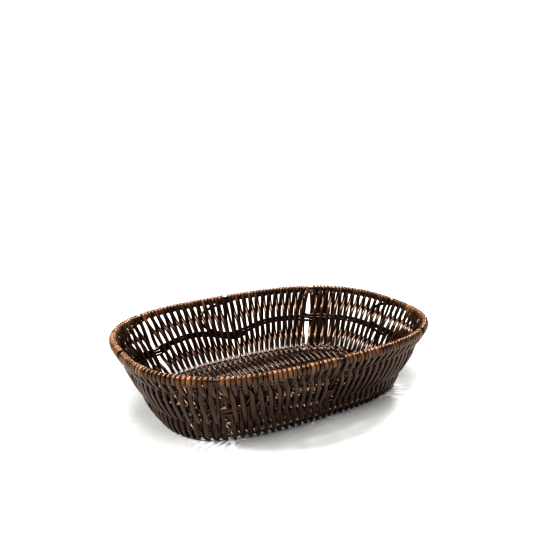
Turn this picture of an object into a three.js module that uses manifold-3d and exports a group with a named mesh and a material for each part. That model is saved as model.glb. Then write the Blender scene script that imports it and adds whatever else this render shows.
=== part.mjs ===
// An oval fruit basket woven from round strands, at its real size in millimetres, +Z up.
// The origin is on the ground under the middle of the basket, and +X runs along its length.
//
// The wall leans outwards from a base ring to a rim. Seen from above, the wall's line at half
// height is a rounded rectangle, and every ring of the basket runs parallel to that line, so a
// place on a section is (out, up): out of that line by so much, and above the ground by so much.
// The strands that are woven over the rods are grouped into panels of their true outer shape.

import * as THREE from 'three';
import { mergeVertices } from 'three/addons/utils/BufferGeometryUtils.js';
import Module from 'manifold-3d';

// Driving dimensions
const PLAN = { halfLength: 131.5, halfWidth: 89.7, squareness: 2.85 };
const RIM_HEIGHT = 63.2;
const FLOOR_HEIGHT = 3.4;
const RIM_OUT = 14.3;
const STRAND_THICKNESS = 2.2;
const WEAVE_SWING = 2.3;
const ROD_RADIUS = 1.2;
const UPRIGHT_RADIUS = 1.1;
const RIM_WRAP = { halfWidth: 3.5, halfHeight: 4.6 };
const RIM_HOLLOW = { halfWidth: 2.3, halfHeight: 3.2 };
const FLOOR_WIRE_PLACES = [-50, -17, 17, 50];
const GAP = 0.3;
const FACET_ROOM = 0.3; // how far the flat facets of two rings side by side may stray together
const UPRIGHT_ROOM = 3.0;
const SECTORS = 8;
const STEPS_PER_SECTOR = 7;
const ROD_SIDES = 8;

// Places worked out from the driving dimensions
const HOOP_HEIGHT = (RIM_HEIGHT + FLOOR_HEIGHT) / 2;
const WALL_RISE = RIM_HEIGHT - FLOOR_HEIGHT;
const LEAN_PER_MM = RIM_OUT / (RIM_HEIGHT - HOOP_HEIGHT);
const LEAN_COSINE = Math.cos(Math.atan(LEAN_PER_MM));
const LANE_HEIGHT = ROD_RADIUS + GAP / 1.5;
const UPPER_NECK = FLOOR_HEIGHT + 0.75 * WALL_RISE;
const LOWER_NECK = FLOOR_HEIGHT + 0.25 * WALL_RISE;
const FLOOR_TOP = 2 * FLOOR_HEIGHT;
const BASE_RING_OUT = leanAt(FLOOR_HEIGHT);
const FLOOR_EDGE_OUT = BASE_RING_OUT - ROD_RADIUS - GAP - FACET_ROOM;

const STRAND = new THREE.MeshStandardMaterial({ color: 0x3a2015, roughness: 0.4, metalness: 0 });
const RIM_STRAND = new THREE.MeshStandardMaterial({ color: 0x6b4028, roughness: 0.35, metalness: 0 });
const ROD = new THREE.MeshStandardMaterial({ color: 0x24130d, roughness: 0.45, metalness: 0 });

// A stretch of the wall's line at half height, seen from above, between two polar angles
// that are given in whole turns from +X towards +Y.
class PlanArc extends THREE.Curve {
  constructor(fromTurn, toTurn) {
    super();
    this.fromTurn = fromTurn;
    this.toTurn = toTurn;
    this.arcLengthDivisions = 720;
  }

  getPoint(t, target = new THREE.Vector3()) {
    const angle = 2 * Math.PI * THREE.MathUtils.lerp(this.fromTurn, this.toTurn, t);
    const along = Math.abs(Math.cos(angle) / PLAN.halfLength) ** PLAN.squareness;
    const across = Math.abs(Math.sin(angle) / PLAN.halfWidth) ** PLAN.squareness;
    const radius = (along + across) ** (-1 / PLAN.squareness);
    return target.set(radius * Math.cos(angle), radius * Math.sin(angle), 0);
  }
}

const wholePlan = new PlanArc(0, 1);

// A share is how far round the line a place is, from 0 to 1, by length. It may pass 1.
function turnAt(share) {
  const laps = Math.floor(share);
  return laps + wholePlan.getUtoTmapping(share - laps);
}

function pointAt(share, out, up) {
  const inLap = share - Math.floor(share);
  const point = wholePlan.getPointAt(inLap);
  const along = wholePlan.getTangentAt(inLap);
  return point.add(new THREE.Vector3(along.y * out, -along.x * out, up));
}

// The wall's centre line and outer faces on a section
function leanAt(up) {
  return (up - HOOP_HEIGHT) * LEAN_PER_MM;
}

function halfThicknessAt(up) {
  const share = (up - FLOOR_HEIGHT) / WALL_RISE;
  const swing = WEAVE_SWING * Math.abs(Math.cos(2 * Math.PI * share));
  return (STRAND_THICKNESS / 2 + swing) / LEAN_COSINE;
}

function outerFace(up) {
  return [leanAt(up) + halfThicknessAt(up), up];
}

function innerFace(up) {
  return [leanAt(up) - halfThicknessAt(up), up];
}

function oval(out, up, halfWidth, halfHeight, sides) {
  return Array.from({ length: sides }, (_, side) => {
    const angle = (2 * Math.PI * (side + 0.5)) / sides;
    return [out + halfWidth * Math.cos(angle), up + halfHeight * Math.sin(angle)];
  });
}

// Sweeps a section round the basket. ExtrudeGeometry points a section's x down and its y
// towards the middle of the basket on this path.
function sweep(section, fromShare, toShare, hollow = null) {
  const onPath = (points) => points.map(([out, up]) => new THREE.Vector2(-up, -out));
  const shape = new THREE.Shape(onPath(section));
  if (hollow) {
    shape.holes.push(new THREE.Path(onPath(hollow).toReversed()));
  }
  return new THREE.ExtrudeGeometry(shape, {
    steps: Math.round(SECTORS * STEPS_PER_SECTOR * (toShare - fromShare)),
    extrudePath: new PlanArc(turnAt(fromShare), turnAt(toShare)),
  });
}

// A rod bent once round the basket, its two ends butting at the given share.
function ringRod(out, up, jointShare) {
  const clearance = GAP / wholePlan.getLength();
  const section = oval(out, up, ROD_RADIUS, ROD_RADIUS, ROD_SIDES);
  return sweep(section, jointShare + clearance, jointShare + 1 - clearance);
}

// The strands wound over the rim rods, from one upright to the next.
function rimWrap(sector) {
  const room = UPRIGHT_ROOM / wholePlan.getLength();
  const outside = oval(RIM_OUT, RIM_HEIGHT, RIM_WRAP.halfWidth, RIM_WRAP.halfHeight, 12);
  const hollow = oval(RIM_OUT, RIM_HEIGHT, RIM_HOLLOW.halfWidth, RIM_HOLLOW.halfHeight, 10);
  return sweep(outside, sector / SECTORS + room, (sector + 1) / SECTORS - room, hollow);
}

function wallPanel(section, sector) {
  const room = UPRIGHT_ROOM / wholePlan.getLength();
  return sweep(section, sector / SECTORS + room, (sector + 1) / SECTORS - room);
}

// Above the hoops: thick over the hoops and under the rim, thin where the strands cross between.
function upperWallSection() {
  const bottom = HOOP_HEIGHT + LANE_HEIGHT + ROD_RADIUS + GAP;
  const top = RIM_HEIGHT - RIM_WRAP.halfHeight - GAP;
  const levels = [bottom, (bottom + UPPER_NECK) / 2, UPPER_NECK, (UPPER_NECK + top) / 2, top];
  return [...levels.map(outerFace), ...levels.toReversed().map(innerFace)];
}

// Below the hoops: its foot turns down outside the base ring and meets the ground.
function lowerWallSection() {
  const top = HOOP_HEIGHT - LANE_HEIGHT - ROD_RADIUS - GAP;
  const heel = FLOOR_TOP + GAP;
  const levels = [top, (top + LOWER_NECK) / 2, LOWER_NECK, (LOWER_NECK + heel) / 2, heel];
  const footOut = BASE_RING_OUT + ROD_RADIUS + GAP + FACET_ROOM;
  const [toeOut] = outerFace(FLOOR_HEIGHT);
  const foot = [
    [toeOut, FLOOR_HEIGHT],
    [toeOut - 0.5, 0.35 * FLOOR_HEIGHT],
    [(toeOut + footOut) / 2, 0],
    [footOut, 0],
    [footOut, heel],
  ];
  return [...levels.map(outerFace), ...foot, ...levels.toReversed().map(innerFace)];
}

// A hoop strand covers two sectors, in the upper or the lower of two lanes.
function hoopStrand(sector) {
  const up = HOOP_HEIGHT + (sector % 2 === 0 ? LANE_HEIGHT : -LANE_HEIGHT);
  const clearance = GAP / wholePlan.getLength();
  const section = oval(leanAt(up), up, ROD_RADIUS, ROD_RADIUS, 6);
  return sweep(section, sector / SECTORS + clearance, (sector + 2) / SECTORS - clearance);
}

// A stake from under the rim to the base ring, which bows outwards to pass the hoops.
function upright(sector) {
  const top = RIM_HEIGHT - LANE_HEIGHT - ROD_RADIUS - GAP - UPRIGHT_RADIUS / 2;
  const bottom = FLOOR_HEIGHT + ROD_RADIUS + GAP + UPRIGHT_RADIUS / 2;
  const bow = ROD_RADIUS + GAP + UPRIGHT_RADIUS / LEAN_COSINE + 0.1;
  const heights = [top, UPPER_NECK, HOOP_HEIGHT, LOWER_NECK, bottom];
  const bows = [0, 0.3 * bow, bow, 0.3 * bow, 0];
  const points = heights.map((up, i) => pointAt(sector / SECTORS, leanAt(up) + bows[i], up));
  const circle = oval(0, 0, UPRIGHT_RADIUS, UPRIGHT_RADIUS, ROD_SIDES);
  return new THREE.ExtrudeGeometry(new THREE.Shape(circle.map((p) => new THREE.Vector2(...p))), {
    steps: 12,
    extrudePath: new THREE.CatmullRomCurve3(points),
  });
}

// How far along X the floor reaches at a place across it.
function floorReach(place, out) {
  let low = 0;
  let high = 0.25;
  for (let halving = 0; halving < 30; halving += 1) {
    const middle = (low + high) / 2;
    if (pointAt(middle, out, 0).y < Math.abs(place)) {
      low = middle;
    } else {
      high = middle;
    }
  }
  return pointAt(low, out, 0).x;
}

// A floor wire runs along the basket inside the woven floor, from one end to the other.
function floorWire(place) {
  const reach = floorReach(place, FLOOR_EDGE_OUT - GAP);
  const circle = oval(0, 0, ROD_RADIUS, ROD_RADIUS, ROD_SIDES);
  const start = new THREE.Vector3(-reach, place, FLOOR_HEIGHT);
  const end = new THREE.Vector3(reach, place, FLOOR_HEIGHT);
  return new THREE.ExtrudeGeometry(new THREE.Shape(circle.map((p) => new THREE.Vector2(...p))), {
    steps: 1,
    extrudePath: new THREE.LineCurve3(start, end),
  });
}

const wasm = await Module();
wasm.setup();

function asSolid(geometry) {
  geometry.deleteAttribute('normal');
  geometry.deleteAttribute('uv');
  const merged = mergeVertices(geometry, 1e-4);
  const vertProperties = new Float32Array(merged.attributes.position.array);
  const triVerts = new Uint32Array(merged.index.array);
  return new wasm.Manifold(new wasm.Mesh({ numProp: 3, vertProperties, triVerts }));
}

function asGeometry(solid) {
  const { vertProperties, triVerts } = solid.getMesh();
  const geometry = new THREE.BufferGeometry();
  geometry.setAttribute('position', new THREE.BufferAttribute(vertProperties, 3));
  geometry.setIndex(new THREE.BufferAttribute(triVerts, 1));
  return geometry;
}

function wovenFloor() {
  const corners = SECTORS * STEPS_PER_SECTOR;
  const outline = Array.from({ length: corners }, (_, corner) => {
    const point = pointAt(corner / corners, FLOOR_EDGE_OUT, 0);
    return new THREE.Vector2(point.x, point.y);
  });
  const options = { depth: FLOOR_TOP, bevelEnabled: false };
  return asSolid(new THREE.ExtrudeGeometry(new THREE.Shape(outline), options));
}

// The strands of the floor between two floor wires, or between a wire and the base ring.
function floorStrip(floor, from, to) {
  const block = new THREE.BoxGeometry(3 * PLAN.halfLength, to - from, 3 * FLOOR_TOP);
  block.translate(0, (from + to) / 2, 0);
  return asGeometry(floor.intersect(asSolid(block)));
}

const basket = new THREE.Group();

function add(name, geometry, material) {
  const mesh = new THREE.Mesh(geometry, material);
  mesh.name = name;
  basket.add(mesh);
}

add('rim_rod_upper', ringRod(RIM_OUT, RIM_HEIGHT + LANE_HEIGHT, 1 / 16), ROD);
add('rim_rod_lower', ringRod(RIM_OUT, RIM_HEIGHT - LANE_HEIGHT, 9 / 16), ROD);
add('base_ring', ringRod(BASE_RING_OUT, FLOOR_HEIGHT, 5 / 16), ROD);

for (let sector = 0; sector < SECTORS; sector += 1) {
  add(`rim_wrap_${sector + 1}`, rimWrap(sector), RIM_STRAND);
  add(`wall_upper_${sector + 1}`, wallPanel(upperWallSection(), sector), STRAND);
  add(`wall_lower_${sector + 1}`, wallPanel(lowerWallSection(), sector), STRAND);
  add(`hoop_strand_${sector + 1}`, hoopStrand(sector), ROD);
  add(`upright_${sector + 1}`, upright(sector), ROD);
}

FLOOR_WIRE_PLACES.forEach((place, i) => {
  add(`floor_wire_${i + 1}`, floorWire(place), ROD);
});

const floor = wovenFloor();
const stripEdges = [-PLAN.halfWidth, ...FLOOR_WIRE_PLACES, PLAN.halfWidth];
for (let strip = 1; strip < stripEdges.length; strip += 1) {
  const from = stripEdges[strip - 1] + ROD_RADIUS + GAP;
  const to = stripEdges[strip] - ROD_RADIUS - GAP;
  add(`floor_strip_${strip}`, floorStrip(floor, from, to), STRAND);
}

export default basket;
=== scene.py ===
"""A woven oval fruit basket, built stem by stem around its CAD frame.

Every stem is an oval tube swept along its own path: up the wall, over the rim rods and tucked
in under them, and at the other end through the floor to the opposite wall, or round the base
ring and up again. Lengths are in metres, +X runs along the basket, +Y across it and +Z up.

A leg is the stretch of a stem that stands in the wall. Legs are counted from the +X end,
counter-clockwise from above. Where a sector of the wall begins, an upright takes a leg's place.

A place on the wall is (share, out, up): a share from 0 to 1 of the way round the wall's line
at half height, so far out of that line, and so far above the ground. A phase is a share of the
way up a leg, from 0 at the base ring to 1 at the rim. A tone is how light a stem's colour is.
"""

import math

import bpy
import numpy as np
from mathutils import Matrix, Vector


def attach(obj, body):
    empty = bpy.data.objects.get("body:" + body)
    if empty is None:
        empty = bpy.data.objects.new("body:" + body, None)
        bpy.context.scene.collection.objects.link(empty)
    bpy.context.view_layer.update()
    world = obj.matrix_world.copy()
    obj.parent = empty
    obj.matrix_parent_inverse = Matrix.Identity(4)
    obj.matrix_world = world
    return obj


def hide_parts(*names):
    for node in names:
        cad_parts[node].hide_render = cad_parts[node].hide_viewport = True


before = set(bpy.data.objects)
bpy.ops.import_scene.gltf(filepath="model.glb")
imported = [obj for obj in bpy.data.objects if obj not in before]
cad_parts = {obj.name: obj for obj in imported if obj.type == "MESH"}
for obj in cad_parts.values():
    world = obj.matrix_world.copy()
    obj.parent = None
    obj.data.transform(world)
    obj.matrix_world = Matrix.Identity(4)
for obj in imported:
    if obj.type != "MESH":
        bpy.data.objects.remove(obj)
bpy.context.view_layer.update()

MM = 0.001

# The wall, as in the CAD model
HALF_LENGTH, HALF_WIDTH, SQUARENESS = 131.5 * MM, 89.7 * MM, 2.85
RIM_HEIGHT = 63.2 * MM
FLOOR_HEIGHT = 3.4 * MM
RIM_OUT = 14.3 * MM
SECTORS = 8

# The woven stems
STEM_WIDTH, WIDTH_SPREAD = 4.05 * MM, 0.035
STEM_THICKNESS, THICKNESS_SPREAD = 2.2 * MM, 0.03
STEM_WAVER = 0.2 * MM
STEM_SIDES = 12
STEM_STEP = 1.5 * MM
LEGS_PER_SECTOR = 26
WEAVE_SWING = 2.6 * MM
WEAVE_SHARPNESS = 1.5

# How far the legs bow away from an upright, and over how many legs that fades
JOINT_BOW, JOINT_BOW_REACH = 0.8 * MM, 3

# A leg's lowest and highest phase in the wall and its turn over the rim in degrees, under 1 if
# it is outside the wall at the rim and under -1 if inside. A looped stem's inner leg has its own
LOWEST_PHASE = {1: 0.05, -1: 0.1}
LOWEST_LOOPED_PHASE = 0.07
HIGHEST_PHASE = 0.9
RIM_TURN = {1: (-20, 228), -1: (182, -62)}

# The heights between which a stem changes over the rim and in the floor, and how it changes
RIM_FADE = (57 * MM, 64 * MM)
FLOOR_FADE = (5 * MM, 9 * MM)
RIM_NARROWING, FLOOR_NARROWING = 0.2, 0.23
TONE_SPREAD, TONE_WANDER = 0.7, 0.06
# Painted light in the stems' tone: a painted highlight that lightens the wraps over the rim, where
# the lamps catch their tops, and painted shade that darkens the stems in the floor and at the foot
# of the wall
RIM_PAINTED_HIGHLIGHT_TONE, RIM_EVENNESS, FLOOR_PAINTED_SHADE = 0.66, 0.55, 0.12

# The rods, hoops and uprights
ROD_RADIUS = 1.2 * MM
HOOP_RADIUS = 1.55 * MM
UPRIGHT_RADIUS = 1.4 * MM
ROD_WAVER = 0.12 * MM
RING_TONE, HOOP_TONE, UPRIGHT_TONE, WIRE_TONE = 0.15, 0.1, 0.2, 0.2
UPRIGHT_TOP = RIM_HEIGHT - 3.6 * MM
UPRIGHT_FOOT = FLOOR_HEIGHT + 0.5 * MM
UPRIGHT_BEND = 9 * MM

# The floor: its stems run across it, and its wires run along it. The legs up to the last end
# leg stand round an end of the basket, and their stems stay out of the floor
FLOOR_PITCH = 3.1 * MM
FLOOR_KNOT_STEP = 3.2 * MM
FLOOR_END_GAP = 5 * MM
INSIDE_FOOT_OUT, INSIDE_FOOT_HEIGHT = -RIM_OUT - 1.4 * MM, 7.2 * MM
FLOOR_STEM_END_OUT, FLOOR_STEM_END_HEIGHT = -RIM_OUT - 2.0 * MM, 6.5 * MM
LAST_END_LEG = 18
WIRE_PLACES = (50 * MM, 17 * MM, -17 * MM, -50 * MM)
WIRE_REACH = 112 * MM
WIRE_END = 0.985 * WIRE_REACH
WIRE_SQUARENESS = 2.6

# The hoops: how high they stand, how far each dips at its upright and how wide each curl is
HOOP_LIFT = 1.5 * MM
HOOP_DIPS = tuple(dip * MM for dip in (1.0, 1.5, 8.5, 5.5, 2.0, 4.0, 6.0, 3.0))
DIP_REACH = 26 * MM
CURL_REACHES = tuple(reach * MM for reach in (20, 12, 34, 26, 18, 24, 30, 16))

# A curl's outline, in shares of its reach and of the way from the hoop up to the rim
CURL_AWAY = np.array([-0.25, 0.0, 0.3, 0.6, 0.85, 1.0, 1.0, 0.88, 0.7])
CURL_RISE = np.array([0.93, 0.9, 0.86, 0.78, 0.66, 0.5, 0.34, 0.16, 0.06])

# A hoop strand's run along the wall: its start behind the joint, as a share of the curl's reach,
# its end past two sectors, and its lane, in strands above the hoop, at so many sectors along
RUN_START, RUN_PAST_END, RUN_KNOT_STEP = -0.45, 14 * MM, 4 * MM
LANES = np.array([1, 1, 0.5, 0.5, 0, 0, -0.5, -0.5, -1])
LANE_STOPS = np.array([-8, 12, 24, 96, 106, 118, 130, 192, 206]) / 103

# Worked out from those
HOOP_HEIGHT = (RIM_HEIGHT + FLOOR_HEIGHT) / 2
LEAN = RIM_OUT / (RIM_HEIGHT - HOOP_HEIGHT)
LEAN_ANGLE = math.atan(LEAN)
BASE_OUT = -RIM_OUT
LEGS = SECTORS * LEGS_PER_SECTOR
QUARTER = LEGS // 4
ROUND_A_ROD = ROD_RADIUS + STEM_THICKNESS / 2
WRAP_HALF_WIDTH = ROUND_A_ROD + 0.1 * MM
WRAP_HALF_HEIGHT = ROUND_A_ROD + ROD_RADIUS
LOWEST_STEM = 0.55 * STEM_THICKNESS

rng = np.random.default_rng(43)


# ---------------------------------------------------------------- the wall's line


def lengths_along(points):
    """The distance from the first point to each, along them."""
    steps = np.linalg.norm(np.diff(points, axis=0), axis=1)
    return np.concatenate([[0.0], np.cumsum(steps)])


def plan_line(samples=4096):
    """Points of the wall's line at half height, their shares, and the way out at each."""
    angle = np.linspace(0, 2 * math.pi, samples + 1)
    along = np.abs(np.cos(angle) / HALF_LENGTH) ** SQUARENESS
    across = np.abs(np.sin(angle) / HALF_WIDTH) ** SQUARENESS
    radius = (along + across) ** (-1 / SQUARENESS)
    points = np.stack([radius * np.cos(angle), radius * np.sin(angle)], axis=1)
    forward = np.roll(points[:-1], -1, axis=0) - np.roll(points[:-1], 1, axis=0)
    forward = np.vstack([forward, forward[:1]])
    forward /= np.linalg.norm(forward, axis=1)[:, None]
    length = lengths_along(points)
    outward = np.stack([forward[:, 1], -forward[:, 0]], axis=1)
    return points, length / length[-1], outward, length[-1]


PLAN_POINTS, PLAN_SHARES, PLAN_OUTWARD, PLAN_LENGTH = plan_line()
OUTWARD_3D = np.concatenate([PLAN_OUTWARD, np.zeros((len(PLAN_OUTWARD), 1))], axis=1)


def looked_up(share, table):
    """The table's row at each share, between its own rows."""
    return np.stack([np.interp(share % 1.0, PLAN_SHARES, column) for column in table.T], axis=-1)


def place(share, out, up):
    """Points in space, one for each of the given places."""
    columns = (np.asarray(column, dtype=float) for column in (share, out, up))
    share, out, up = np.broadcast_arrays(*columns)
    flat = looked_up(share, PLAN_POINTS) + looked_up(share, PLAN_OUTWARD) * out[..., None]
    return np.concatenate([flat, up[..., None]], axis=-1)


def sideways(share):
    """The direction along the wall at each share, counter-clockwise from above."""
    outward = looked_up(np.asarray(share, dtype=float), PLAN_OUTWARD)
    return np.stack([-outward[..., 1], outward[..., 0], np.zeros(outward.shape[:-1])], axis=-1)


def even_shares(out):
    """A function from even steps along the ring at this offset to shares."""
    length = lengths_along(PLAN_POINTS + PLAN_OUTWARD * out)
    length = length / length[-1]

    def share_at(turn):
        return np.floor(turn) + np.interp(turn % 1.0, length, PLAN_SHARES)

    return share_at


rim_share_at = even_shares(RIM_OUT)


def side_foot_share(x):
    """The share in the back half at which the base ring passes this x."""
    base_x = (PLAN_POINTS + PLAN_OUTWARD * BASE_OUT)[:, 0]
    half = len(base_x) // 2
    return float(np.interp(-x, -base_x[: half + 1], PLAN_SHARES[: half + 1]))


def foot_share(leg):
    """Where a leg meets the base ring. The legs on the sides line up with the floor's stems."""
    leg = leg % LEGS
    if leg > LEGS // 2:
        return 1.0 - foot_share(LEGS - leg)
    if leg > QUARTER:
        return 0.5 - foot_share(LEGS // 2 - leg)
    corner = LAST_END_LEG + 1
    if leg >= corner:
        return side_foot_share((QUARTER - leg) * FLOOR_PITCH)
    return side_foot_share((QUARTER - corner) * FLOOR_PITCH) * leg / corner


def lean_at(up):
    """How far out the leaning wall is at this height."""
    return (up - HOOP_HEIGHT) * LEAN


def hoop_height(share):
    """The hoops rise between the uprights and dip at them, each by its own amount."""
    height = np.full(np.shape(share), HOOP_HEIGHT + HOOP_LIFT)
    for sector, dip in enumerate(HOOP_DIPS):
        away = (np.asarray(share) - rim_share_at(sector / SECTORS) + 0.5) % 1.0 - 0.5
        height = height - dip * np.exp(-((away * PLAN_LENGTH / DIP_REACH) ** 2))
    return height


# ---------------------------------------------------------------- sweeping stems


def spline(knots, spacing):
    """Evenly spaced points on a smooth curve through the knots, with their other columns."""
    before, after = 2 * knots[:1] - knots[1:2], 2 * knots[-1:] - knots[-2:-1]
    padded = np.concatenate([before, knots, after])[:, None]
    p0, p1, p2, p3 = padded[:-3], padded[1:-2], padded[2:-1], padded[3:]
    t = np.linspace(0, 1, 8, endpoint=False)[None, :, None]
    cubic = 3 * p1 - p0 - 3 * p2 + p3
    square = 2 * p0 - 5 * p1 + 4 * p2 - p3
    curve = p1 + 0.5 * t * (p2 - p0 + t * (square + t * cubic))
    curve = np.concatenate([curve.reshape(-1, knots.shape[1]), knots[-1:]])
    length = lengths_along(curve[:, :3])
    places = np.linspace(0, length[-1], max(int(length[-1] / spacing), 8) + 1)
    return np.stack([np.interp(places, length, column) for column in curve.T], axis=1)


def unit(vectors):
    """The vectors' directions, at length 1."""
    return vectors / np.linalg.norm(vectors, axis=1)[:, None]


def wander(length, size):
    """A slow random waver along a stem."""
    total = np.zeros(len(length))
    for wave in (18 * MM, 37 * MM, 71 * MM):
        amount = size * rng.normal(0, 0.5)
        total += amount * np.sin(2 * math.pi * (length / wave + rng.random()))
    return total


def padded_ends(array):
    """Two more rows at each end, each like the last."""
    return np.concatenate([array[:1]] * 2 + [array] + [array[-1:]] * 2)


def swept_rings(points, side, width, thickness, closed):
    """Rings of an oval tube along the points. The section's width lies along side, and it can
    be one number or one for each point. An open tube has rounded ends."""
    width = np.broadcast_to(width, len(points))
    if closed:
        forward = unit(np.roll(points, -1, axis=0) - np.roll(points, 1, axis=0))
    else:
        forward = unit(np.gradient(points, axis=0))
    side = unit(side - forward * np.sum(side * forward, axis=1)[:, None])
    top = np.cross(forward, side)
    scale = np.ones(len(points))
    if not closed:
        end_rings = [0, 1, -2, -1]
        past = np.zeros(len(points) + len(end_rings))
        past[end_rings] = np.array([-0.42, -0.25, 0.25, 0.42]) * thickness
        points, side, top, scale, width = map(padded_ends, (points, side, top, scale, width))
        points = points + padded_ends(forward) * past[:, None]
        scale[end_rings] = 0.45, 0.85, 0.85, 0.45
    angle = np.arange(STEM_SIDES) * 2 * math.pi / STEM_SIDES
    across = side[:, None] * (np.cos(angle)[None, :, None] * width[:, None, None] / 2)
    through = top[:, None] * (np.sin(angle)[None, :, None] * thickness / 2)
    return points[:, None] + (across + through) * scale[:, None, None]


def stem_piece(name, points, side, width, thickness, tones, closed=False):
    """A stem as a Blender object, with its length and girth as UVs and its tone at each point."""
    rings = swept_rings(points, side, width, thickness, closed)
    count, sides = rings.shape[:2]
    ring = np.arange(count if closed else count - 1)[:, None]
    step = np.arange(sides)[None, :]
    following = (ring + 1) % count
    corners = [
        ring * sides + step,
        ring * sides + (step + 1) % sides,
        following * sides + (step + 1) % sides,
        following * sides + step,
    ]
    quads = np.stack([np.broadcast_to(corner, (len(ring), sides)) for corner in corners], axis=-1)
    faces = quads.reshape(-1, 4).tolist()
    if not closed:
        faces.append(list(range(sides))[::-1])
        faces.append(list(range((count - 1) * sides, count * sides)))
    mesh = bpy.data.meshes.new(name)
    mesh.from_pydata(rings.reshape(-1, 3).tolist(), [], faces)
    mesh.polygons.foreach_set("use_smooth", [True] * len(faces))
    add_stem_uvs(mesh, rings, sides)
    tones = tones if closed else padded_ends(tones)
    attribute = mesh.attributes.new("tone", "FLOAT", "POINT")
    attribute.data.foreach_set("value", np.repeat(tones, sides))
    mesh.update()
    piece = bpy.data.objects.new(name, mesh)
    bpy.context.scene.collection.objects.link(piece)
    return piece


def add_stem_uvs(mesh, rings, sides):
    """u runs along the stem in metres. v runs round it, there and back, so that it has no seam."""
    vertex = np.zeros(len(mesh.loops), dtype=int)
    mesh.loops.foreach_get("vertex_index", vertex)
    along = lengths_along(rings.mean(axis=1))
    around = np.abs(1 - 2 * np.arange(sides) / sides)
    uvs = np.stack([along[vertex // sides], around[vertex % sides]], axis=1)
    mesh.uv_layers.new(name="stem").data.foreach_set("uv", uvs.ravel())


# ---------------------------------------------------------------- the paths of the legs


def leg_side(leg):
    """+1 for a leg that is outside the wall at the rim, and -1 for one that is inside it there."""
    leg = leg % LEGS
    even = leg % 2 == 0
    return 1 if even == (leg < LEGS // 2) else -1


def floor_side(leg):
    """+1 for a leg whose stem goes over the base ring into the floor, and -1 for under it."""
    return -leg_side(leg)


def knots_at(share, out, up, flip):
    """Spline knots: the place, and the direction along the wall to lay the stem's width on."""
    return np.concatenate([place(share, out, up), flip * sideways(share)], axis=1)


def bowed_aside(leg, phases):
    """How far a leg bows along the wall, away from the nearest upright and most at the hoops."""
    half_sector = LEGS_PER_SECTOR / 2
    away = (leg + half_sector) % LEGS_PER_SECTOR - half_sector
    nearness = math.exp((1 - abs(away)) / JOINT_BOW_REACH)
    return JOINT_BOW * np.sign(away) * nearness * np.sin(math.pi * phases)


def wall_knots(leg, flip, phases):
    """A leg between the base ring and the rim. It keeps to one side of the wall at both and to
    the other side at the hoops, and crosses over between."""
    top_share, bottom_share = rim_share_at(leg / LEGS), foot_share(leg)
    bottom_share += round(top_share - bottom_share)
    share = bottom_share + (top_share - bottom_share) * phases
    share = share + bowed_aside(leg, phases) / PLAN_LENGTH
    hoop = hoop_height(share)
    low = FLOOR_HEIGHT + (hoop - FLOOR_HEIGHT) * 2 * phases
    high = hoop + (RIM_HEIGHT - hoop) * (2 * phases - 1)
    up = np.where(phases < 0.5, low, high)
    wave = leg_side(leg) * np.cos(2 * math.pi * phases)
    swing = WEAVE_SWING * np.tanh(WEAVE_SHARPNESS * wave) / math.tanh(WEAVE_SHARPNESS)
    out = lean_at(up) + swing * math.cos(LEAN_ANGLE)
    return knots_at(share, out, up - swing * math.sin(LEAN_ANGLE), flip)


def rim_knots(leg, flip):
    """The leg's turn over the rim rods, from the wall to its end tucked in under them."""
    angle = np.radians(np.linspace(*RIM_TURN[leg_side(leg)], 13))
    share = np.full(len(angle), rim_share_at(leg / LEGS))
    out = RIM_OUT + WRAP_HALF_WIDTH * np.cos(angle)
    up = RIM_HEIGHT + WRAP_HALF_HEIGHT * np.sin(angle)
    return knots_at(share, out, up, flip)


def leg_knots(leg, flip, lowest):
    """A whole leg, from its foot up to its tucked end."""
    phases = np.linspace(lowest, HIGHEST_PHASE, 18)
    return np.concatenate([wall_knots(leg, flip, phases), rim_knots(leg, flip)])


def ring_turn_knots(share, degrees, flip):
    """A turn round the base ring, through the given angles."""
    angle = np.radians(degrees)
    out = BASE_OUT + ROUND_A_ROD * np.cos(angle)
    up = np.maximum(FLOOR_HEIGHT + ROUND_A_ROD * np.sin(angle), STEM_THICKNESS / 2)
    return knots_at(share, out, up, flip)


def wire_y(x, middle_y):
    """A floor wire's place across the floor at x: it bends in towards its ends."""
    inside = np.maximum(1 - np.abs(x / WIRE_REACH) ** WIRE_SQUARENESS, 0.0)
    return middle_y * inside ** (1 / WIRE_SQUARENESS)


def floor_knots(x, edge_y, start_side):
    """The floor stretch of a stem at x, over and under the wires, from the back to the front."""
    crossings = np.array([edge_y, *(wire_y(x, middle_y) for middle_y in WIRE_PLACES), -edge_y])
    reach = edge_y - FLOOR_END_GAP
    y = np.linspace(reach, -reach, int(2 * edge_y / FLOOR_KNOT_STEP))
    crossed = np.interp(-y, -crossings, np.arange(len(crossings)))
    up = FLOOR_HEIGHT + start_side * ROUND_A_ROD * np.cos(math.pi * crossed)
    flat = np.stack([np.full(len(y), x), y, up], axis=1)
    return np.concatenate([flat, np.tile([-1.0, 0.0, 0.0], (len(y), 1))], axis=1)


def floor_stem_knots(leg):
    """A floor stem by itself, its ends turned up against the foot of the wall."""
    x = (QUARTER - leg) * FLOOR_PITCH
    _, edge_y, _ = place(side_foot_share(x), FLOOR_STEM_END_OUT, 0.0)
    floor = floor_knots(x, edge_y, floor_side(leg))
    ends = [(x, y, FLOOR_STEM_END_HEIGHT, -1.0, 0.0, 0.0) for y in (edge_y, -edge_y)]
    return np.concatenate([ends[:1], floor, ends[1:]])


def foot_knots(leg, flip):
    """How a leg turns from the wall into the floor: under the base ring from outside the wall,
    or past its inner side from inside it."""
    share = foot_share(leg)
    if leg_side(leg) > 0:
        return ring_turn_knots(np.full(3, share), [-28, -58, -90], flip)
    return knots_at(np.array([share]), INSIDE_FOOT_OUT, INSIDE_FOOT_HEIGHT, flip)


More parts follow.
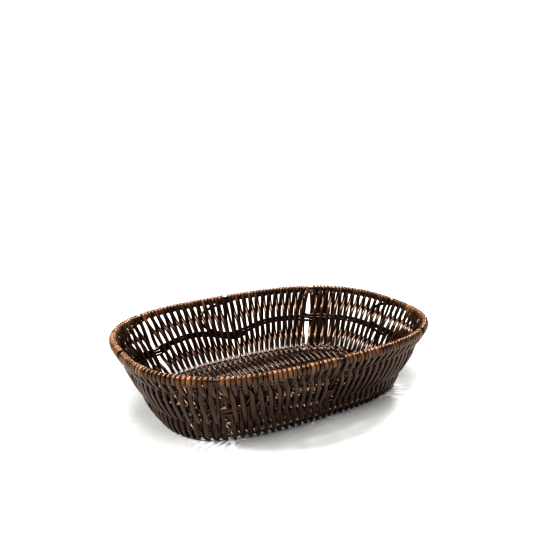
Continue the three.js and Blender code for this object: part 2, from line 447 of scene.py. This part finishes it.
def crossing_stem_knots(leg):
    """A stem that runs down the back wall, through the floor and up the front wall."""
    partner = LEGS - leg
    back = leg_knots(leg, 1, LOWEST_PHASE[leg_side(leg)])[::-1]
    front = leg_knots(partner, -1, LOWEST_PHASE[leg_side(partner)])
    x, edge_y, _ = place(foot_share(leg), BASE_OUT, 0.0)
    floor = floor_knots(x, edge_y, floor_side(leg))
    return np.concatenate([back, foot_knots(leg, 1), floor, foot_knots(partner, -1)[::-1], front])


def looped_stem_knots(outer_leg, inner_leg):
    """A stem that runs down the outside of the wall, round the base ring and up inside."""
    down = leg_knots(outer_leg, 1, LOWEST_PHASE[1])[::-1]
    up = leg_knots(inner_leg, 1, LOWEST_LOOPED_PHASE)
    start, end = foot_share(outer_leg), foot_share(inner_leg)
    end += round(start - end)
    degrees = np.array([-30, -62, -94, -126, -158, -186])
    turn = ring_turn_knots(start + (end - start) * np.linspace(0.1, 0.9, 6), degrees, 1)
    return np.concatenate([down, turn, up])


# ---------------------------------------------------------------- the pieces


def finished(piece, material, nodes):
    """The piece with its material and the CAD nodes that it stands for."""
    piece.data.materials.append(material)
    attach(piece, "root")
    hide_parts(*nodes)
    return piece


def wavered(points, side, size):
    """The stem's points with its small random wavers, sideways and through the wall."""
    length = lengths_along(points)
    forward = unit(np.gradient(points, axis=0))
    through = np.cross(forward, unit(side))
    moved = points + unit(side) * wander(length, size)[:, None]
    moved = moved + through * wander(length, 0.4 * size)[:, None]
    moved[:, 2] = np.maximum(moved[:, 2], LOWEST_STEM)
    return moved


def woven_stem(name, knots, material, nodes):
    """A stem with its own width, thickness and tone, narrower over the rim and in the floor. Its
    tone is raised over the rim as a painted highlight and lowered in the floor as painted shade.
    """
    path = spline(knots, STEM_STEP)
    points = wavered(path[:, :3], path[:, 3:], STEM_WAVER)
    width = STEM_WIDTH * rng.normal(1.0, WIDTH_SPREAD)
    thickness = STEM_THICKNESS * rng.normal(1.0, THICKNESS_SPREAD)
    rim = np.interp(points[:, 2], RIM_FADE, (0, 1))
    floor = np.interp(points[:, 2], FLOOR_FADE, (1, 0))
    own_tone = TONE_SPREAD * rng.beta(1.6, 2.2)
    # The tone carries painted light: a painted highlight over the rim and painted shade in the
    # floor
    tones = own_tone * (1 - RIM_EVENNESS * rim) + RIM_PAINTED_HIGHLIGHT_TONE * rim - FLOOR_PAINTED_SHADE * floor
    tones = tones + wander(lengths_along(points), TONE_WANDER)
    width = width * (1 - RIM_NARROWING * rim - FLOOR_NARROWING * floor)
    piece = stem_piece(name, points, path[:, 3:], width, thickness, tones)
    return finished(piece, material, nodes)


def sector_nodes(leg):
    """The CAD panels that hold this leg."""
    sector = int(leg % LEGS // LEGS_PER_SECTOR) + 1
    return [f"rim_wrap_{sector}", f"wall_upper_{sector}", f"wall_lower_{sector}"]


def weave_stems(material):
    """Every woven stem of the wall, the rim and the floor."""
    floor_strips = [f"floor_strip_{strip}" for strip in range(1, 6)]
    first, last = LAST_END_LEG + 1, LEGS // 2 - LAST_END_LEG - 1
    for leg in range(first, last + 1):
        if leg % LEGS_PER_SECTOR:
            nodes = sector_nodes(leg) + sector_nodes(LEGS - leg) + floor_strips
            woven_stem(f"stem_crossing_{leg}", crossing_stem_knots(leg), material, nodes)
    under_uprights = [LEGS_PER_SECTOR * sector for sector in range(1, SECTORS // 2)]
    at_ends = [LAST_END_LEG - step for step in range(4)]
    for leg in under_uprights + at_ends + [LEGS // 2 - leg for leg in at_ends]:
        woven_stem(f"stem_floor_{leg}", floor_stem_knots(leg), material, floor_strips)
    before_end_legs = (0, LEGS // 2 - LAST_END_LEG - 1, LEGS // 2, LEGS - LAST_END_LEG - 1)
    for before in before_end_legs:
        for leg in range(before + 1, before + LAST_END_LEG, 2):
            outer, inner = (leg, leg + 1) if leg_side(leg) > 0 else (leg + 1, leg)
            knots = looped_stem_knots(outer, inner)
            woven_stem(f"stem_looped_{leg}", knots, material, sector_nodes(leg))


def ring_rod(name, out, up, material):
    """A rod that runs all the way round the basket."""
    share = np.linspace(0, 1, 480, endpoint=False)
    points = place(share, out, up)
    side = sideways(share + 0.25)
    tones = np.full(len(share), RING_TONE)
    diameter = 2 * ROD_RADIUS
    piece = stem_piece(name, points, side, diameter, diameter, tones, closed=True)
    return finished(piece, material, [name])


def open_rod(name, knots, radius, tone, material):
    """A round rod through the knots."""
    path = spline(knots, STEM_STEP)
    tones = np.full(len(path), tone)
    points = wavered(path[:, :3], path[:, 3:], ROD_WAVER)
    piece = stem_piece(name, points, path[:, 3:], 2 * radius, 2 * radius, tones)
    return finished(piece, material, [name])


def outward_knots(share, out, up):
    """Spline knots for a stem that runs along the wall, its width laid through the wall."""
    return np.concatenate([place(share, out, up), looked_up(np.asarray(share), OUTWARD_3D)], axis=1)


def hoop_strand(sector, material):
    """A stem that comes out from under the rim, curls down to half height, and runs back along
    the wall over two sectors. It sinks from lane to lane as the next ones come in above it."""
    joint = rim_share_at(sector / SECTORS)
    reach = CURL_REACHES[sector]
    curl_share = joint + CURL_AWAY * reach / PLAN_LENGTH
    curl_start = hoop_height(curl_share)
    curl_up = curl_start + (RIM_HEIGHT - curl_start) * CURL_RISE + 2 * ROD_RADIUS * (1 - CURL_RISE)

    sector_run = PLAN_LENGTH / SECTORS
    run = np.arange(RUN_START * reach, 2 * sector_run + RUN_PAST_END, RUN_KNOT_STEP)
    run_share = joint - run / PLAN_LENGTH
    lane_height = 2 * HOOP_RADIUS * math.cos(LEAN_ANGLE)
    run_up = hoop_height(run_share) + np.interp(run, LANE_STOPS * sector_run, LANES * lane_height)

    share = np.concatenate([curl_share, run_share])
    up = np.concatenate([curl_up, run_up])
    knots = outward_knots(share, lean_at(up), up)
    name = f"hoop_strand_{sector + 1}"
    return open_rod(name, knots, HOOP_RADIUS, HOOP_TONE, material)


def upright(sector, material):
    """A stake from under the rim rods to the base ring, past the hoops on one side or the other."""
    up = np.linspace(UPRIGHT_TOP, UPRIGHT_FOOT, 14)
    share = np.full(len(up), rim_share_at(sector / SECTORS))
    from_hoop = (up - hoop_height(share)) / UPRIGHT_BEND
    past = (ROD_RADIUS + UPRIGHT_RADIUS) * np.exp(-(from_hoop**2))
    out = lean_at(up) + past * (1 if sector % 2 else -1)
    out[-2:] += (1.3 * MM, 2.4 * MM)
    knots = outward_knots(share, out, up)
    name = f"upright_{sector + 1}"
    return open_rod(name, knots, UPRIGHT_RADIUS, UPRIGHT_TONE, material)


def floor_wire(number, middle_y, material):
    """A rod along the floor, whose ends bend in towards the middle."""
    x = np.linspace(-WIRE_END, WIRE_END, 45)
    points = np.stack([x, wire_y(x, middle_y), np.full(len(x), FLOOR_HEIGHT)], axis=1)
    knots = np.concatenate([points, np.tile([0.0, 1.0, 0.0], (len(x), 1))], axis=1)
    name = f"floor_wire_{number}"
    return open_rod(name, knots, ROD_RADIUS, WIRE_TONE, material)


# ---------------------------------------------------------------- materials


def new_material(name):
    """An empty material with one Principled shader."""
    material = bpy.data.materials.new(name)
    material.use_nodes = True
    nodes = material.node_tree.nodes
    nodes.clear()
    output = nodes.new("ShaderNodeOutputMaterial")
    shader = nodes.new("ShaderNodeBsdfPrincipled")
    material.node_tree.links.new(shader.outputs["BSDF"], output.inputs["Surface"])
    return material, shader


def stretched_noise(nodes, links, scale, detail):
    """Fine grain: noise over a stem's UVs, drawn out along the stem."""
    uv = nodes.new("ShaderNodeUVMap")
    uv.uv_map = "stem"
    stretched = nodes.new("ShaderNodeMapping")
    stretched.inputs["Scale"].default_value = scale
    links.new(uv.outputs["UV"], stretched.inputs["Vector"])
    noise = nodes.new("ShaderNodeTexNoise")
    noise.inputs["Scale"].default_value = 1.0
    noise.inputs["Detail"].default_value = detail
    links.new(stretched.outputs["Vector"], noise.inputs["Vector"])
    return noise.outputs["Fac"]


def mottling(nodes, links, scale, detail):
    """Broad patches: noise over the object's own space."""
    own_space = nodes.new("ShaderNodeTexCoord")
    noise = nodes.new("ShaderNodeTexNoise")
    noise.inputs["Scale"].default_value = scale
    noise.inputs["Detail"].default_value = detail
    links.new(own_space.outputs["Object"], noise.inputs["Vector"])
    return noise.outputs["Fac"]


def multiplied_and_added(nodes, links, value, factor, base):
    """The value x factor + base, where value and base are outputs of other nodes."""
    node = nodes.new("ShaderNodeMath")
    node.operation = "MULTIPLY_ADD"
    links.new(value, node.inputs[0])
    node.inputs[1].default_value = factor
    links.new(base, node.inputs[2])
    return node.outputs[0]


def lowered(nodes, links, value, amount):
    """The value less an amount."""
    node = nodes.new("ShaderNodeMath")
    node.operation = "SUBTRACT"
    links.new(value, node.inputs[0])
    node.inputs[1].default_value = amount
    return node.outputs[0]


def colour_ramp(nodes, links, value, colours):
    """The colours, evenly spaced from value 0 to value 1."""
    ramp = nodes.new("ShaderNodeValToRGB")
    elements = ramp.color_ramp.elements
    elements[0].position = 0.0
    elements[1].position = 1.0
    for step in range(1, len(colours) - 1):
        elements.new(step / (len(colours) - 1))
    for element, colour in zip(elements, colours):
        element.color = (*colour, 1.0)
    links.new(value, ramp.inputs["Fac"])
    return ramp.outputs["Color"]


def stem_material(name, colours, roughness, coat):
    """A glossy natural stem: its colour follows its tone, with grain and mottling along it."""
    material, shader = new_material(name)
    nodes, links = material.node_tree.nodes, material.node_tree.links
    tone = nodes.new("ShaderNodeAttribute")
    tone.attribute_name = "tone"
    grain = stretched_noise(nodes, links, scale=(90.0, 5.0, 1.0), detail=3.0)
    mottle = mottling(nodes, links, scale=85.0, detail=2.0)

    mottled = multiplied_and_added(nodes, links, mottle, factor=0.5, base=tone.outputs["Fac"])
    grained = multiplied_and_added(nodes, links, grain, factor=0.35, base=mottled)
    centred = lowered(nodes, links, grained, amount=0.42)
    links.new(colour_ramp(nodes, links, centred, colours), shader.inputs["Base Color"])

    bump = nodes.new("ShaderNodeBump")
    bump.inputs["Strength"].default_value = 0.35
    bump.inputs["Distance"].default_value = 0.15 * MM
    links.new(grain, bump.inputs["Height"])
    links.new(bump.outputs["Normal"], shader.inputs["Normal"])
    shader.inputs["Roughness"].default_value = roughness
    shader.inputs["Specular IOR Level"].default_value = 0.72
    shader.inputs["Specular Tint"].default_value = (1.0, 0.63, 0.43, 1.0)
    shader.inputs["Coat Weight"].default_value = coat
    shader.inputs["Coat Roughness"].default_value = 0.12
    return material


# Colours from the darkest tone to the lightest
STEM_COLOURS = (
    (0.0040, 0.0015, 0.0010),
    (0.0080, 0.0025, 0.0014),
    (0.0180, 0.0056, 0.0028),
    (0.0300, 0.0150, 0.0060),
    (0.1600, 0.0800, 0.0400),
)
ROD_COLOURS = (
    (0.0045, 0.0022, 0.0016),
    (0.0140, 0.0060, 0.0035),
    (0.0350, 0.0140, 0.0070),
)


# ---------------------------------------------------------------- the studio


def pale_floor():
    """A pale floor that runs out of view on every side."""
    half = 6.0
    corners = [(-half, -half, 0), (half, -half, 0), (half, half, 0), (-half, half, 0)]
    mesh = bpy.data.meshes.new("studio_floor")
    mesh.from_pydata(corners, [], [(0, 1, 2, 3)])
    floor = bpy.data.objects.new("studio_floor", mesh)
    bpy.context.scene.collection.objects.link(floor)
    material, shader = new_material("studio_white")
    shader.inputs["Base Color"].default_value = (0.44, 0.44, 0.432, 1.0)
    shader.inputs["Roughness"].default_value = 0.55
    shader.inputs["Specular IOR Level"].default_value = 0.2
    mesh.materials.append(material)


def pale_world():
    """White to the camera, and dimmer as a light, so that the stems keep their dark tones."""
    world = bpy.data.worlds.new("studio")
    world.use_nodes = True
    nodes, links = world.node_tree.nodes, world.node_tree.links
    nodes.clear()
    output = nodes.new("ShaderNodeOutputWorld")
    seen = nodes.new("ShaderNodeBackground")
    seen.inputs["Color"].default_value = (1.0, 1.0, 1.0, 1.0)
    seen.inputs["Strength"].default_value = 1.05
    fill = nodes.new("ShaderNodeBackground")
    fill.inputs["Color"].default_value = (1.0, 0.97, 0.94, 1.0)
    fill.inputs["Strength"].default_value = 0.22
    path = nodes.new("ShaderNodeLightPath")
    mix = nodes.new("ShaderNodeMixShader")
    links.new(path.outputs["Is Camera Ray"], mix.inputs["Fac"])
    links.new(fill.outputs["Background"], mix.inputs[1])
    links.new(seen.outputs["Background"], mix.inputs[2])
    links.new(mix.outputs["Shader"], output.inputs["Surface"])
    bpy.context.scene.world = world


def sun(name, azimuth, elevation, strength, spread):
    """A soft sun that shines from an azimuth, counted from +X towards +Y, and an elevation. Its
    angles are in degrees."""
    light = bpy.data.lights.new(name, "SUN")
    light.energy = strength
    light.angle = math.radians(spread)
    lamp = bpy.data.objects.new(name, light)
    turn, rise = math.radians(azimuth), math.radians(elevation)
    lamp.rotation_mode = "XYZ"
    lamp.rotation_euler = (0.0, math.pi / 2 - rise, turn)
    bpy.context.scene.collection.objects.link(lamp)


def camera():
    """The three-quarter view from the front left and above."""
    data = bpy.data.cameras.new("camera")
    data.sensor_width = 36.0
    data.lens = 37.97
    eye = Vector((-267.0, -447.4, 241.7)) * MM
    aim = Vector((12.5, 18.6, 106.3)) * MM
    roll = math.radians(-0.4)
    holder = bpy.data.objects.new("camera", data)
    holder.location = eye
    holder.rotation_mode = "QUATERNION"
    level = (aim - eye).to_track_quat("-Z", "Y")
    turned = level.to_matrix().to_4x4() @ Matrix.Rotation(roll, 4, "Z")
    holder.rotation_quaternion = turned.to_quaternion()
    bpy.context.scene.collection.objects.link(holder)
    bpy.context.scene.camera = holder


# ---------------------------------------------------------------- the scene

camera()
stems = stem_material("glossy_stem", STEM_COLOURS, roughness=0.26, coat=0.08)
rods = stem_material("dark_rod", ROD_COLOURS, roughness=0.45, coat=0.1)
weave_stems(stems)
ring_rod("rim_rod_upper", RIM_OUT, RIM_HEIGHT + ROD_RADIUS, rods)
ring_rod("rim_rod_lower", RIM_OUT, RIM_HEIGHT - ROD_RADIUS, rods)
ring_rod("base_ring", BASE_OUT, FLOOR_HEIGHT, rods)
for sector_number in range(SECTORS):
    hoop_strand(sector_number, stems)
    upright(sector_number, stems)
for wire_number, wire_place in enumerate(reversed(WIRE_PLACES), start=1):
    floor_wire(wire_number, wire_place, rods)
pale_floor()
pale_world()
sun("sun_left", azimuth=165, elevation=50, strength=3.0, spread=8)
sun("sun_right", azimuth=15, elevation=50, strength=3.0, spread=8)
sun("sun_back", azimuth=90, elevation=62, strength=1.7, spread=14)
sun("sun_top", azimuth=245, elevation=70, strength=3.2, spread=30)
bpy.context.scene.view_settings.view_transform = "Standard"
bpy.context.scene.view_settings.look = "High Contrast"
